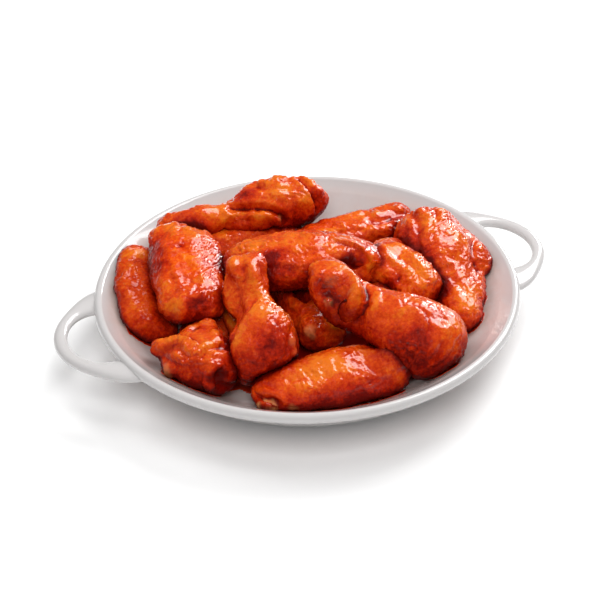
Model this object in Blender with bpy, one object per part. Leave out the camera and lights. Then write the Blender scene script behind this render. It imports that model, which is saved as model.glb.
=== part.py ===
"""Chicken wings in sauce, heaped in a round white serving dish with two loop handles.

The dish is a turned porcelain body with a foot ring, a rounded rim and a loop handle at each end of X.
Each wing is a flat (the two-boned middle joint) or a drumette (the one-boned upper joint). A wing is
lofted from named sizes along a slightly bowed axis, its lobes are blended in, and it is then pressed
soft against the dish and against the wings that lie below it.
Lengths are in millimetres, and MM turns them into metres where a mesh is written.
"""

import math
from dataclasses import dataclass, field

import bmesh
import bpy
from mathutils import Matrix, Vector, noise
from mathutils.bvhtree import BVHTree

MM = 0.001

# Dish
RIM_RADIUS = 120.0  # at the crest of the rim
RIM_HEIGHT = 38.0
LIP_RADIUS = 2.9  # rounding of the rim, seen in section
FLOOR_TOP = 9.0
WELL_PROFILE = [(70, FLOOR_TOP), (83, 11.6), (94, 18.0), (104, 26.2), (112, 33.0)]  # radius and height inside
FOOT_RADIUS = 80.0
FOOT_WIDTH = 6.0
FOOT_HEIGHT = 3.0
DISH_SEGMENTS = 48

# Loop handles
HANDLE_REACH = 145.5  # from the dish's axis to the middle of the loop
HANDLE_ROOT = 111.0
HANDLE_HALF_SPAN = 34.0
HANDLE_HALF_WIDTH = 3.9
HANDLE_HALF_HEIGHT = 3.0
HANDLE_FLARE = 6.5  # how much wider the loop grows where it joins the rim
HANDLE_DROP = 5.6  # from the crest of the rim down to the middle of the loop
HANDLE_STEPS = 14
HANDLE_SIDES = 10

# Wings
WING_STATIONS = 22
WING_SIDES = 20
VOXEL = 2.0
WING_GAP = 1.1  # left between two wings when they are pressed together
DISH_GAP = 0.9
WING_TRIANGLES = 500
PRESS_ROUNDS = 5
LAST_PRESS_ROUNDS = 2
SETTLE_ROUNDS = 3
SETTLE_REACH = 8.0
SETTLE_SHARE = 0.6  # of the gap, which is what the coarse skin must keep
LUMP_HEIGHT = 0.9
LUMP_SPACING = 15.0

PORCELAIN = ("porcelain", (0.86, 0.85, 0.84), 0.15)
SAUCED_SKIN = ("sauced_skin", (0.50, 0.09, 0.012), 0.30)


@dataclass
class Lobe:
    """A swelling or a flap on a wing: an ellipsoid placed by its wing's own directions."""
    share: float  # how far along the wing it sits
    aside: float
    above: float
    half_length: float
    half_width: float
    half_thickness: float
    swing: float = 0.0  # degrees about the wing's upward direction
    tilt: float = 0.0  # degrees about the wing's length


@dataclass
class Wing:
    """One wing from start to end. The width changes along it, and depth is thickness over width."""
    name: str
    start: tuple
    end: tuple
    widths: list  # pairs of a share of the length and the width there
    depth: float
    caps: tuple = (0.12, 0.16)  # the shares of the length that round off its start and its end
    roll: float = 0.0
    arch: float = 0.0
    bend: float = 0.0
    groove: float = 0.0  # between the two bones of a flat
    lobes: list = field(default_factory=list)


# The wings that lie lowest come first, because each one is pressed against those before it.
WINGS = [
    Wing("flat_left_outer", (-96, -1, 23), (-77, 79, 31), [(0, 34), (0.5, 39), (1, 33)], 0.58,
         roll=20, arch=2, groove=1.5),
    Wing("drumette_front_left", (-58, 10, 21), (-84, -53, 28), [(0, 24), (0.3, 28), (0.7, 42), (1, 42)], 0.86,
         caps=(0.12, 0.12), lobes=[Lobe(0.72, 19, 10, 13, 7, 4, 40), Lobe(0.9, -9, 6, 11, 8, 9, 0)]),
    Wing("flat_front", (-57, -66, 18), (30, -76, 21), [(0, 27), (0.25, 34), (0.6, 38), (1, 34)], 0.66,
         roll=12, arch=3, groove=1.5),
    Wing("drumette_right", (77, -60, 24), (86, 34, 42), [(0, 22), (0.25, 24), (0.62, 42), (1, 42)], 0.86,
         lobes=[Lobe(0.62, 21, 0, 20, 10, 9, 10), Lobe(0.35, 12, 0, 18, 8, 8, -8)]),
    Wing("flat_back_right", (86, 45, 31), (8, 46, 29), [(0, 30), (1, 33)], 0.64, arch=4, groove=2,
         lobes=[Lobe(0.14, 6, 5, 12, 8, 6, 0)]),
    Wing("flat_low_left", (-46, -14, 20), (-38, 58, 20), [(0, 26), (0.5, 30), (1, 28)], 0.66),
    Wing("flat_center_low", (0, -36, 20), (-2, 38, 22), [(0, 30), (1, 34)], 0.66,
         lobes=[Lobe(0.14, -8, 6, 10, 6, 6, 0)]),
    Wing("drumette_low_right", (34, 8, 29), (62, -32, 25), [(0, 24), (0.6, 29), (1, 26)], 0.85),
    Wing("flat_back_center", (21, 69, 26), (-48, 73, 25), [(0, 28), (1, 32)], 0.64, arch=3, groove=1.5),
    Wing("drumette_back_left", (-66, 84, 42), (43, 74, 45),
         [(0, 17), (0.1, 16), (0.25, 13), (0.36, 14), (0.62, 33), (0.8, 34), (1, 22)], 0.92,
         lobes=[Lobe(0.56, 9, -3, 19, 7, 6, 0), Lobe(0.62, -5, 7, 15, 9, 8, -12), Lobe(0.82, 6, 3, 13, 10, 10, 25)]),
    Wing("flat_left_top", (-71, -10, 37), (-54, 75, 46), [(0, 38), (0.5, 43), (1, 38)], 0.58,
         roll=8, arch=3, groove=1.5),
    Wing("flat_right_center", (62, -38, 35), (47, 15, 41), [(0, 29), (1, 30)], 0.7, arch=3, groove=1,
         lobes=[Lobe(0.42, 7, 5, 22, 5, 5, -4)]),
    Wing("flat_center", (42, -3, 44), (-45, 24, 42), [(0, 36), (0.5, 43), (1, 38)], 0.68,
         arch=5, groove=1, lobes=[Lobe(0.04, -3, 6, 10, 15, 3.5, 0)]),
    Wing("drumette_center", (-36, 5, 62), (-48, -60, 23),
         [(0, 21), (0.1, 20), (0.3, 17), (0.46, 22), (0.72, 40), (1, 38)], 0.86, bend=-3,
         lobes=[Lobe(0.27, 9, -5, 16, 9, 6, 0), Lobe(0.07, 6, 2, 7, 6.5, 6.5, 0), Lobe(0.07, -6, 2, 8, 6.5, 6.5, 0),
                Lobe(0.68, -4, 5, 19, 15, 14, 6)]),
    Wing("drumette_right_front", (-4, -21, 61), (57, -88, 30),
         [(0, 30), (0.12, 29), (0.3, 24), (0.68, 46), (1, 44)], 0.9, arch=-4,
         lobes=[Lobe(0.08, -4, 1, 8, 11, 11, 20)]),
]


def clear_scene():
    for old in list(bpy.data.objects):
        bpy.data.objects.remove(old, do_unlink=True)


def finish_material(name, colour, roughness):
    material = bpy.data.materials.new(name)
    material.use_nodes = True
    shader = material.node_tree.nodes["Principled BSDF"]
    shader.inputs["Base Color"].default_value = (*colour, 1.0)
    shader.inputs["Roughness"].default_value = roughness
    return material


def new_object(name, points, faces, material):
    """An object whose mesh has these points, in millimetres, and these faces."""
    mesh = bpy.data.meshes.new(name)
    mesh.from_pydata([Vector(p) * MM for p in points], [], faces)
    mesh.materials.append(material)
    made = bpy.data.objects.new(name, mesh)
    bpy.context.scene.collection.objects.link(made)
    return made


def bake_modifiers(target):
    """Replaces the object's mesh by what its modifiers make of it, and removes them."""
    bpy.context.view_layer.update()
    graph = bpy.context.evaluated_depsgraph_get()
    made = bpy.data.meshes.new_from_object(target.evaluated_get(graph))
    target.modifiers.clear()
    target.data = made
    return target


def loft(rings):
    """Points and faces of a closed solid through rings of equal length. One-point rings close its ends."""
    points = [p for ring in rings for p in ring]
    count = len(rings[1])
    last_ring = 1 + (len(rings) - 3) * count
    faces = []
    for k in range(count):
        after = (k + 1) % count
        faces.append((0, 1 + k, 1 + after))
        for near in range(1, last_ring, count):
            faces.append((near + k, near + count + k, near + count + after, near + after))
        faces.append((last_ring + k, len(points) - 1, last_ring + after))
    return points, faces


def dish_profile():
    """Radius and height of the dish in section, from its floor's middle over the rim to its underside."""
    lip = []
    for degrees in (140, 95, 50, 5, -45):
        turn = math.radians(degrees)
        lip.append((RIM_RADIUS + LIP_RADIUS * math.cos(turn), RIM_HEIGHT - LIP_RADIUS * (1 - math.sin(turn))))
    outside = [(113, 24.5), (102, 15.0), (91, 7.0), (FOOT_RADIUS + 2, 2.6)]
    foot = [(FOOT_RADIUS, 0), (FOOT_RADIUS - FOOT_WIDTH, 0), (FOOT_RADIUS - FOOT_WIDTH - 2, FOOT_HEIGHT)]
    return WELL_PROFILE + lip + outside + foot


def turned_rings(profile, first_height, last_height):
    """Rings of a profile turned about the dish's axis, on which they begin and end."""
    rings = [[Vector((0, 0, first_height))]]
    for radius, height in profile:
        turns = [2 * math.pi * k / DISH_SEGMENTS for k in range(DISH_SEGMENTS)]
        rings.append([Vector((radius * math.cos(t), radius * math.sin(t), height)) for t in turns])
    return rings + [[Vector((0, 0, last_height))]]


def handle_rings(side):
    """Sections of one loop handle, from its root in the rim round to its other root. side is 1 or -1."""
    rings = []
    for step in range(HANDLE_STEPS + 1):
        turn = math.pi * (step / HANDLE_STEPS - 0.5)
        reach = HANDLE_ROOT + (HANDLE_REACH - HANDLE_ROOT) * abs(math.cos(turn)) ** 0.85
        middle = Vector((side * reach, side * HANDLE_HALF_SPAN * math.sin(turn), RIM_HEIGHT - HANDLE_DROP))
        outward = Vector((side * math.cos(turn), side * math.sin(turn), 0.0))
        half_width = HANDLE_HALF_WIDTH + HANDLE_FLARE * abs(math.sin(turn)) ** 9
        rings.append(section(middle, outward, Vector((0, 0, 1)), half_width, HANDLE_HALF_HEIGHT, HANDLE_SIDES))
    ends = [sum(ring, Vector()) / HANDLE_SIDES for ring in (rings[0], rings[-1])]
    return [[ends[0]], *rings, [ends[1]]]


def section(middle, side, up, half_width, half_height, count, groove=0.0):
    """A ring round middle. A groove sinks the middle of its top and of its bottom."""
    ring = []
    for k in range(count):
        turn = 2 * math.pi * k / count
        across = math.cos(turn)
        dip = groove * math.exp(-(across / 0.35) ** 2) * math.copysign(1, math.sin(turn))
        ring.append(middle + side * half_width * across + up * (half_height * math.sin(turn) - dip))
    return ring


def join_solid(target, other):
    union = target.modifiers.new("join_" + other.name, "BOOLEAN")
    union.operation = "UNION"
    union.object = other
    other.hide_render = True
    other.display_type = "WIRE"


def make_dish(material):
    points, faces = loft(turned_rings(dish_profile(), FLOOR_TOP, FOOT_HEIGHT))
    dish = new_object("dish", points, faces, material)
    for side, word in ((-1, "left"), (1, "right")):
        points, faces = loft(handle_rings(side))
        join_solid(dish, new_object("handle_" + word, points, faces, material))
    return bake_modifiers(dish)


def eased_between(pairs, share):
    """The value at this share, eased from each pair (share, value) to the next."""
    for (s0, v0), (s1, v1) in zip(pairs, pairs[1:]):
        if share <= s1:
            part = (share - s0) / (s1 - s0)
            return v0 + (v1 - v0) * (3 - 2 * part) * part * part
    return pairs[-1][1]


def rounding(share, caps):
    """One along the wing, and falling to nothing at both ends as a quarter of an ellipse does."""
    gone = max(1 - share / caps[0], 1 - (1 - share) / caps[1], 0.0)
    return math.sqrt(max(1 - gone * gone, 0.0))


def directions(wing):
    """The wing's axis ends, and unit vectors along it, to its side and up, turned by its roll."""
    start, end = Vector(wing.start), Vector(wing.end)
    along = (end - start).normalized()
    side = along.cross(Vector((0, 0, 1))).normalized()
    up = side.cross(along)
    turn = Matrix.Rotation(math.radians(wing.roll), 3, along)
    return start, end, along, turn @ side, turn @ up


def body_rings(wing):
    start, end, along, side, up = directions(wing)
    rings = [[start]]
    for station in range(1, WING_STATIONS):
        share = 0.5 - 0.5 * math.cos(math.pi * station / WING_STATIONS)
        half_width = eased_between(wing.widths, share) / 2 * rounding(share, wing.caps)
        bow = 4 * share * (1 - share)
        middle = start.lerp(end, share) + up * wing.arch * bow + side * wing.bend * bow
        rings.append(section(middle, side, up, half_width, half_width * wing.depth, WING_SIDES,
                             wing.groove * bow))
    return rings + [[end]]


def lobe_rings(wing, lobe):
    start, end, along, side, up = directions(wing)
    bow = 4 * lobe.share * (1 - lobe.share)
    middle = start.lerp(end, lobe.share) + side * (lobe.aside + wing.bend * bow)
    middle += up * (lobe.above + wing.arch * bow)
    turn = Matrix.Rotation(math.radians(lobe.tilt), 3, along) @ Matrix.Rotation(math.radians(lobe.swing), 3, up)
    reach, across, raised = turn @ along, turn @ side, turn @ up
    rings = [[middle - reach * lobe.half_length]]
    for step in range(1, 8):
        place = -math.cos(math.pi * step / 8)
        size = math.sqrt(1 - place * place)
        rings.append(section(middle + reach * lobe.half_length * place, across, raised,
                             lobe.half_width * size, lobe.half_thickness * size, 12))
    return rings + [[middle + reach * lobe.half_length]]


def well_surface():
    """The dish's inside, carried on past its rim over a deep cone, so that its nearest side is always this one."""
    beyond = [(RIM_RADIUS, RIM_HEIGHT), (2 * RIM_RADIUS, 2 * RIM_HEIGHT)]
    points, faces = loft(turned_rings(WELL_PROFILE + beyond, FLOOR_TOP, -10 * RIM_RADIUS))
    return BVHTree.FromPolygons([p * MM for p in points], faces)


def surface_of(target):
    return BVHTree.FromPolygons([v.co.copy() for v in target.data.vertices],
                                [tuple(f.vertices) for f in target.data.polygons])


def press_out(points, surface, gap):
    """Moves each point that is in the solid, or nearer to it than the gap, out to the gap."""
    for k, point in enumerate(points):
        nearest, normal, _, _ = surface.find_nearest(point, 0.03)
        if nearest is None:
            continue
        depth = (point - nearest).dot(normal)
        if depth < gap:
            points[k] = point + normal * (gap - depth)


def press_soft(target, surfaces, rounds):
    """Presses the object's mesh out of each solid, and smooths what it moved between the rounds."""
    mesh = target.data
    points = [v.co.copy() for v in mesh.vertices]
    beside = [[] for _ in points]
    for edge in mesh.edges:
        a, b = edge.vertices
        beside[a].append(b)
        beside[b].append(a)
    for step in range(rounds):
        before = [p.copy() for p in points]
        for surface, gap in surfaces:
            press_out(points, surface, gap * MM)
        if step == rounds - 1:
            break
        moved = {k for k, (p, q) in enumerate(zip(before, points)) if (p - q).length > 1e-5}
        near = moved | {j for k in moved for j in beside[k]}
        mean = {k: sum((points[j] for j in beside[k]), Vector()) / len(beside[k]) for k in near}
        for k, place in mean.items():
            points[k] = points[k].lerp(place, 0.5)
    for vertex, point in zip(mesh.vertices, points):
        vertex.co = point


def keep_largest_shell(target):
    """Deletes every shell but the one with the most points, such as a pocket closed in by two lobes."""
    work = bmesh.new()
    work.from_mesh(target.data)
    left, shells = set(work.verts), []
    while left:
        shell, front = set(), [left.pop()]
        while front:
            point = front.pop()
            shell.add(point)
            fresh = {edge.other_vert(point) for edge in point.link_edges} & left
            left -= fresh
            front.extend(fresh)
        shells.append(shell)
    largest = max(shells, key=len)
    bmesh.ops.delete(work, geom=[v for v in work.verts if v not in largest], context="VERTS")
    work.to_mesh(target.data)
    work.free()


def blend(target):
    """Makes one even skin round all that the object holds, and softens it."""
    remesh = target.modifiers.new("skin", "REMESH")
    remesh.mode = "VOXEL"
    remesh.voxel_size = VOXEL * MM
    soften = target.modifiers.new("soften", "SMOOTH")
    soften.factor = 0.5
    soften.iterations = 4
    bake_modifiers(target)
    keep_largest_shell(target)


def make_uneven(target):
    """Raises and sinks the surface in soft lumps, which differ from wing to wing by their place."""
    for vertex in target.data.vertices:
        lump = noise.noise(vertex.co / (LUMP_SPACING * MM))
        vertex.co += vertex.normal * lump * LUMP_HEIGHT * MM


def settle(target, surfaces):
    """Moves whole faces of the coarse skin out of each solid, also where only their middles meet it."""
    mesh = target.data
    points = [v.co.copy() for v in mesh.vertices]
    for _ in range(SETTLE_ROUNDS):
        for face in mesh.polygons:
            corners = [points[k] for k in face.vertices]
            middle = sum(corners, Vector()) / len(corners)
            samples = corners + [(a + b) / 2 for a, b in zip(corners, corners[1:] + corners[:1])] + [middle]
            for surface, gap in surfaces:
                push = Vector()
                for sample in samples:
                    nearest, normal, _, _ = surface.find_nearest(sample, SETTLE_REACH * MM)
                    if nearest is None:
                        continue
                    short = gap * SETTLE_SHARE * MM - (sample - nearest).dot(normal)
                    if short > push.length:
                        push = normal * short
                for k in face.vertices:
                    points[k] = points[k] + push
    for vertex, point in zip(mesh.vertices, points):
        vertex.co = point


def make_wing(wing, material, surfaces):
    """Makes one wing, pressed against the surfaces of what lies below it, and returns its own surface."""
    points, faces = loft(body_rings(wing))
    for lobe in wing.lobes:
        more_points, more_faces = loft(lobe_rings(wing, lobe))
        faces += [tuple(len(points) + k for k in face) for face in more_faces]
        points += more_points
    made = new_object(wing.name, points, faces, material)
    blend(made)
    make_uneven(made)
    press_soft(made, surfaces, PRESS_ROUNDS)
    blend(made)
    press_soft(made, surfaces, LAST_PRESS_ROUNDS)
    coarsen = made.modifiers.new("coarsen", "DECIMATE")
    coarsen.ratio = WING_TRIANGLES / sum(len(f.vertices) - 2 for f in made.data.polygons)
    bake_modifiers(made)
    settle(made, surfaces)
    made.data.shade_smooth()
    return surface_of(made)


def main():
    clear_scene()
    porcelain = finish_material(*PORCELAIN)
    sauced_skin = finish_material(*SAUCED_SKIN)
    make_dish(porcelain)
    surfaces = [(well_surface(), DISH_GAP)]
    for wing in WINGS:
        surfaces.append((make_wing(wing, sauced_skin, surfaces), WING_GAP))


main()
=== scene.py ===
"""Chicken wings in a thick red sauce, heaped in a round porcelain dish with two loop handles."""
import math

import bpy
import numpy as np
from mathutils import Matrix, Vector
from mathutils.bvhtree import BVHTree


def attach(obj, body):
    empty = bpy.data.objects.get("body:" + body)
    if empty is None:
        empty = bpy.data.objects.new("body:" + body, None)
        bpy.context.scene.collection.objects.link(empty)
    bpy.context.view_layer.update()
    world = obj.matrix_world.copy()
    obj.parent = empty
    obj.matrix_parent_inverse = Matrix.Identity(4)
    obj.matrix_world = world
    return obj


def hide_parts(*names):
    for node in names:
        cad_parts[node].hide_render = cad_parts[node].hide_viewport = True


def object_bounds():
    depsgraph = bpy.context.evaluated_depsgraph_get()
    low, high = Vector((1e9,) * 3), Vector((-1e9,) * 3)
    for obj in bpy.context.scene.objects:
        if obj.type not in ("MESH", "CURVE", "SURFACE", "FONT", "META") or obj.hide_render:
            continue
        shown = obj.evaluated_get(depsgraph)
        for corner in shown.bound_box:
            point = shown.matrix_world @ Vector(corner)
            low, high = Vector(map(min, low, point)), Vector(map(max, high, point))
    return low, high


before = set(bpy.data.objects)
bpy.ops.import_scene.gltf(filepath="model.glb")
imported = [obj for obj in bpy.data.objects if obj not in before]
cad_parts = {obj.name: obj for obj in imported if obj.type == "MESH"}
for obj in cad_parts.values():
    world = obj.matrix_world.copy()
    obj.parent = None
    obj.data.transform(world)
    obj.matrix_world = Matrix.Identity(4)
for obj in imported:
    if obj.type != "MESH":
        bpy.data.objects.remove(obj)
CAD_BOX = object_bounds()
MM = 0.001

# The dish. Lengths are in millimetres. Sections are pairs of radius and height.
RIM_RADIUS = 120.0
RIM_HEIGHT = 38.0
LIP_RADIUS = 2.9
WELL = ((0, 9.0), (40, 9.0), (70, 9.0), (83, 11.6), (94, 18.0), (104, 26.2), (112, 33.0))
OUTSIDE = ((113, 24.5), (102, 15.0), (91, 7.0), (82, 2.6))
FOOT = ((80, 0.0), (74, 0.0), (72, 3.0), (40, 3.0), (0, 3.0))
WELL_STEPS = 6
OUTSIDE_STEPS = 5
DISH_STEPS = 288
HANDLE_RADIUS = 34.4
HANDLE_MIDDLE = 111.0
HANDLE_WIDTH = 3.9
HANDLE_THICKNESS = 3.0
HANDLE_HEIGHT = 32.4
HANDLE_FLARE = 1.9
HANDLE_ROOT_SHARPNESS = 8
WALL_RADIUS = 115.9
WALL_DEPTH = 40.0

# Stains on the glaze, in millimetres: the radius and height that bound them, and then for the strong and the
# faint one its share, the distance over which it fades, and the furthest distance measured. The strong one is
# sauce where the wings touch; the faint wide one is painted red light bounced from the wings.
STAIN_AND_BOUNCE_RADIUS = 113.0
STAIN_AND_BOUNCE_FROM = 8.5
STAINS_AND_BOUNCE = ((0.28, 4.0, 30.0), (0.20, 40.0, 80.0))

# The sauce on the dish, whose deep pool under the heap is also painted shade between the wings. Lengths are
# in millimetres.
POOL_REACH = 108.0
POOL_CELLS = 220
POOL_SHEET = 0.3
POOL_DEEPEST = 1.1

# The wings' skin. Lengths are in millimetres.
VOXEL = 0.68
PUFF = 0.45
HEADROOM = 5.0
MERGED = 0.02

# Rounds of smoothing. The first two are for a voxel of 1 mm, and a finer one takes more.
ROUNDING = 14
REFILLING = 12
FINE_ROUNDS = 6
BROAD_ROUNDS = 50

# Relief: the size and height of each in millimetres, and the number added to its seed.
LUMPS = ((13, 0.80, 0), (6.5, 0.50, 1))
FOLDS = ((3.7, 1.35, 2), (2.2, 0.75, 9))
BUMPS = ((2.1, 0.28, 4), (1.3, 0.16, 5))
FOLD_CREST = 0.30

# Near a neighbour the sauce is painted redder, partly as sauce that gathers there and partly as painted
# shade, and painted shade mixes it towards near black: for each its share there, and its reach in
# millimetres.
GATHER_AND_SHADE_SHARE = 0.55
GATHER_AND_SHADE_REACH = 5.0
SHADE_SHARE = 0.85
SHADE_REACH = 2.6

# How glossy the sauce is underneath, and how much more on top.
LEAST_GLOSS = 0.06
TOP_GLOSS = 0.86

# Sauce colours, in linear light.
DEEP = (0.16, 0.0024, 0.0005)
RED = (0.43, 0.0150, 0.0012)
BRIGHT = (0.63, 0.056, 0.0030)
ORANGE = (0.73, 0.152, 0.0075)
# The next colour is painted shade: the near black that gaps and hollows are mixed towards.
SHADE_BLACK = (0.040, 0.0010, 0.0004)
FAT = (0.80, 0.34, 0.090)
BONE = (0.72, 0.33, 0.150)

# The glaze, clean and stained; the stained colour also paints red light bounced from the wings.
GLAZE = (0.56, 0.54, 0.535)
STAINED_AND_BOUNCE_GLAZE = (0.55, 0.14, 0.030)

# Softboxes: azimuth and elevation in degrees, size in metres, power in watts, and whether they show as gloss.
# Azimuth 0 is behind the dish, and 90 on its right.
LAMP_DISTANCE = 1.2
LAMPS = (("window", 61, 47, 0.75, 11.0, True),
         ("low_window", 50, 20, 0.24, 3.5, True),
         ("back_left", -40, 48, 0.6, 3.8, False),
         ("top", 180, 87, 0.6, 3.6, False),
         ("fill", -160, 50, 0.6, 8.0, False))
ROOM_LIGHT = 0.09

# The camera: its turn, rise and roll in degrees, and its distance and aim in metres.
CAMERA_TURN = -19.95
CAMERA_RISE = 34.4
CAMERA_ROLL = -1.31
CAMERA_DISTANCE = 0.9542
CAMERA_AIM = (0, 0, 0.038)
CAMERA_LENS = 99
CAMERA_SHIFT = (-0.0114, -0.028)


# ---------------------------------------------------------------- making and measuring pieces

def chosen(*objects):
    """Selects these objects alone, and makes the first one active."""
    if bpy.context.object and bpy.context.object.mode != "OBJECT":
        bpy.ops.object.mode_set(mode="OBJECT")
    bpy.ops.object.select_all(action="DESELECT")
    for item in objects:
        item.select_set(True)
    bpy.context.view_layer.objects.active = objects[0]


def choose_nothing():
    """Deselects everything, so that a new piece is the only one chosen."""
    bpy.ops.object.select_all(action="DESELECT")


def added(name):
    """The primitive that was added last, under its own name."""
    piece = bpy.context.object
    piece.name = piece.data.name = name
    return piece


def finished(piece, kind, **settings):
    """Applies one modifier to the piece."""
    chosen(piece)
    modifier = piece.modifiers.new(kind.title(), kind)
    for key, value in settings.items():
        setattr(modifier, key, value)
    bpy.ops.object.modifier_apply(modifier=modifier.name)


def edited(piece, *steps):
    """Runs edit mode steps on all of the piece."""
    chosen(piece)
    bpy.ops.object.mode_set(mode="EDIT")
    bpy.ops.mesh.select_all(action="SELECT")
    for step in steps:
        step()
    bpy.ops.object.mode_set(mode="OBJECT")
    return piece


def placed(piece):
    """Puts the piece's place into its mesh."""
    chosen(piece)
    bpy.ops.object.transform_apply(location=True, rotation=True, scale=True)
    return piece


def points_of(piece):
    flat = np.empty(len(piece.data.vertices) * 3, np.float32)
    piece.data.vertices.foreach_get("co", flat)
    return flat.reshape(-1, 3).astype(float)


def normals_of(piece):
    flat = np.empty(len(piece.data.vertices) * 3, np.float32)
    piece.data.vertices.foreach_get("normal", flat)
    return flat.reshape(-1, 3).astype(float)


def move_points(piece, points):
    piece.data.vertices.foreach_set("co", np.asarray(points, np.float32).ravel())
    piece.data.update()


def surface_of(*pieces):
    """The surface of one or more pieces, for measuring distances to it."""
    points, faces = [], []
    for piece in pieces:
        first = len(points)
        points += [v.co.copy() for v in piece.data.vertices]
        faces += [tuple(first + k for k in face.vertices) for face in piece.data.polygons]
    return BVHTree.FromPolygons(points, faces)


def gaps_to(surface, points, most=0.02):
    """Each point's distance to the surface in metres, no more than this much."""
    return np.array([surface.find_nearest(Vector(p), most)[3] or most for p in points])


def paint(piece, name, values):
    """Keeps one number for each point of the piece, which its material reads by name."""
    layer = piece.data.attributes.new(name, "FLOAT", "POINT")
    layer.data.foreach_set("value", np.asarray(values, np.float32))


# ---------------------------------------------------------------- numbers over the surface

GRADIENTS = np.random.default_rng(7).normal(size=(256, 3))
GRADIENTS /= np.linalg.norm(GRADIENTS, axis=1)[:, None]


def noise(points, size, seed=0):
    """Smooth noise from about -1 to 1, whose lumps are of this size in metres."""
    grid = points / size + 31.7 * seed
    cell = np.floor(grid).astype(np.int64)
    part = grid - cell
    ease = part ** 3 * (part * (part * 6 - 15) + 10)
    total = np.zeros(len(points))
    for corner in np.ndindex(2, 2, 2):
        spot = cell + corner
        key = (spot[:, 0] * 73856093) ^ (spot[:, 1] * 19349663) ^ (spot[:, 2] * 83492791)
        gradient = GRADIENTS[(key ^ (key >> 9)) % 256]
        share = np.prod(np.where(corner, ease, 1 - ease), axis=1)
        total += share * ((part - corner) * gradient).sum(1)
    return 1.7 * total


def step_up(values, low, high):
    """0 below low, 1 above high, and an even rise between."""
    part = np.clip((values - low) / (high - low), 0, 1)
    return part * part * (3 - 2 * part)


def smooth_line(marks, steps=8):
    """Points along a smooth curve through the marks."""
    marks = [np.asarray(m, float) for m in marks]
    ends = [2 * marks[0] - marks[1], *marks, 2 * marks[-1] - marks[-2]]
    line = []
    for a, b, c, d in zip(ends, ends[1:], ends[2:], ends[3:]):
        for k in range(steps):
            t = k / steps
            line.append(0.5 * (2 * b + (c - a) * t + (2 * a - 5 * b + 4 * c - d) * t * t
                               + (3 * b - a - 3 * c + d) * t ** 3))
    return np.array(line + [marks[-1]])


def eased(points, edges, rounds):
    """The points after each has moved to the middle of its neighbours this many times."""
    count = len(points)
    ends = np.concatenate([edges[:, 0], edges[:, 1]])
    others = np.concatenate([edges[:, 1], edges[:, 0]])
    share = 1 / np.maximum(np.bincount(ends, minlength=count), 1)
    for _ in range(rounds):
        points = np.stack([np.bincount(ends, points[others, k], count) * share for k in range(3)], 1)
    return points


def edges_of(piece):
    flat = np.empty(len(piece.data.edges) * 2, np.int32)
    piece.data.edges.foreach_get("vertices", flat)
    return flat.reshape(-1, 2)


# ---------------------------------------------------------------- materials

class Value:
    """A number that a material works out at each point, so that sums of them read as sums."""

    def __init__(self, finish, socket):
        self.finish = finish
        self.socket = socket

    def math(self, operation, *others):
        values = dict(enumerate((self, *others)))
        return self.finish.node("Math", {"operation": operation}, values)

    def __add__(self, other):
        return self.math("ADD", other)

    def __mul__(self, other):
        return self.math("MULTIPLY", other)

    def __sub__(self, other):
        return self.math("SUBTRACT", other)

    def __rsub__(self, other):
        return self.finish.node("Math", {"operation": "SUBTRACT"}, {0: other, 1: self})

    __radd__ = __add__
    __rmul__ = __mul__

    def clamped(self):
        return self.finish.node("Math", {"operation": "ADD", "use_clamp": True}, {0: self, 1: 0.0})


class Finish:
    """A material with a Principled shader, whose even values are set on the shader's own sockets."""

    def __init__(self, name, **even):
        self.material = bpy.data.materials.new(name)
        self.material.use_nodes = True
        self.tree = self.material.node_tree
        self.shader = self.tree.nodes["Principled BSDF"]
        for key, value in even.items():
            self.shader.inputs[key.replace("_", " ")].default_value = value
        self.place = self.node("TexCoord", out="Object")

    def node(self, kind, settings=None, sockets=None, out=0):
        """A node of this kind: its settings first, then the values or links of its sockets."""
        made = self.tree.nodes.new("ShaderNode" + kind)
        for key, value in (settings or {}).items():
            if key == "stops":
                ramp = made.color_ramp.elements
                while len(ramp) < len(value):
                    ramp.new(0.5)
                for stop, (position, colour) in zip(ramp, value):
                    stop.position = position
                    stop.color = (*colour, 1)
            else:
                setattr(made, key, value)
        for key, value in (sockets or {}).items():
            self.feed(made.inputs[key], value)
        return Value(self, made.outputs[out])

    def feed(self, socket, value):
        if isinstance(value, Value):
            self.tree.links.new(value.socket, socket)
        elif hasattr(value, "__len__") and len(value) == 3 and socket.type == "RGBA":
            socket.default_value = (*value, 1)
        else:
            socket.default_value = value

    def painted(self, name):
        return self.node("Attribute", {"attribute_name": name}, out="Fac")

    def noise(self, size, detail=2.0, roughness=0.5, distortion=0.0):
        """Noise from 0 to 1, in lumps of this size in metres."""
        return self.node("TexNoise", {"noise_dimensions": "3D"},
                         {"Vector": self.place, "Scale": 1 / size, "Detail": detail,
                          "Roughness": roughness, "Distortion": distortion})

    def mixed(self, share, first, second):
        return self.node("Mix", {"data_type": "RGBA"}, {0: share, 6: first, 7: second}, out=2)

    def bumped(self, height, distance, strength=1.0):
        return self.node("Bump", {}, {"Height": height, "Distance": distance, "Strength": strength})

    def finish(self, **varied):
        for key, value in varied.items():
            self.feed(self.shader.inputs[key.replace("_", " ")], value)
        return self.material


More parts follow.
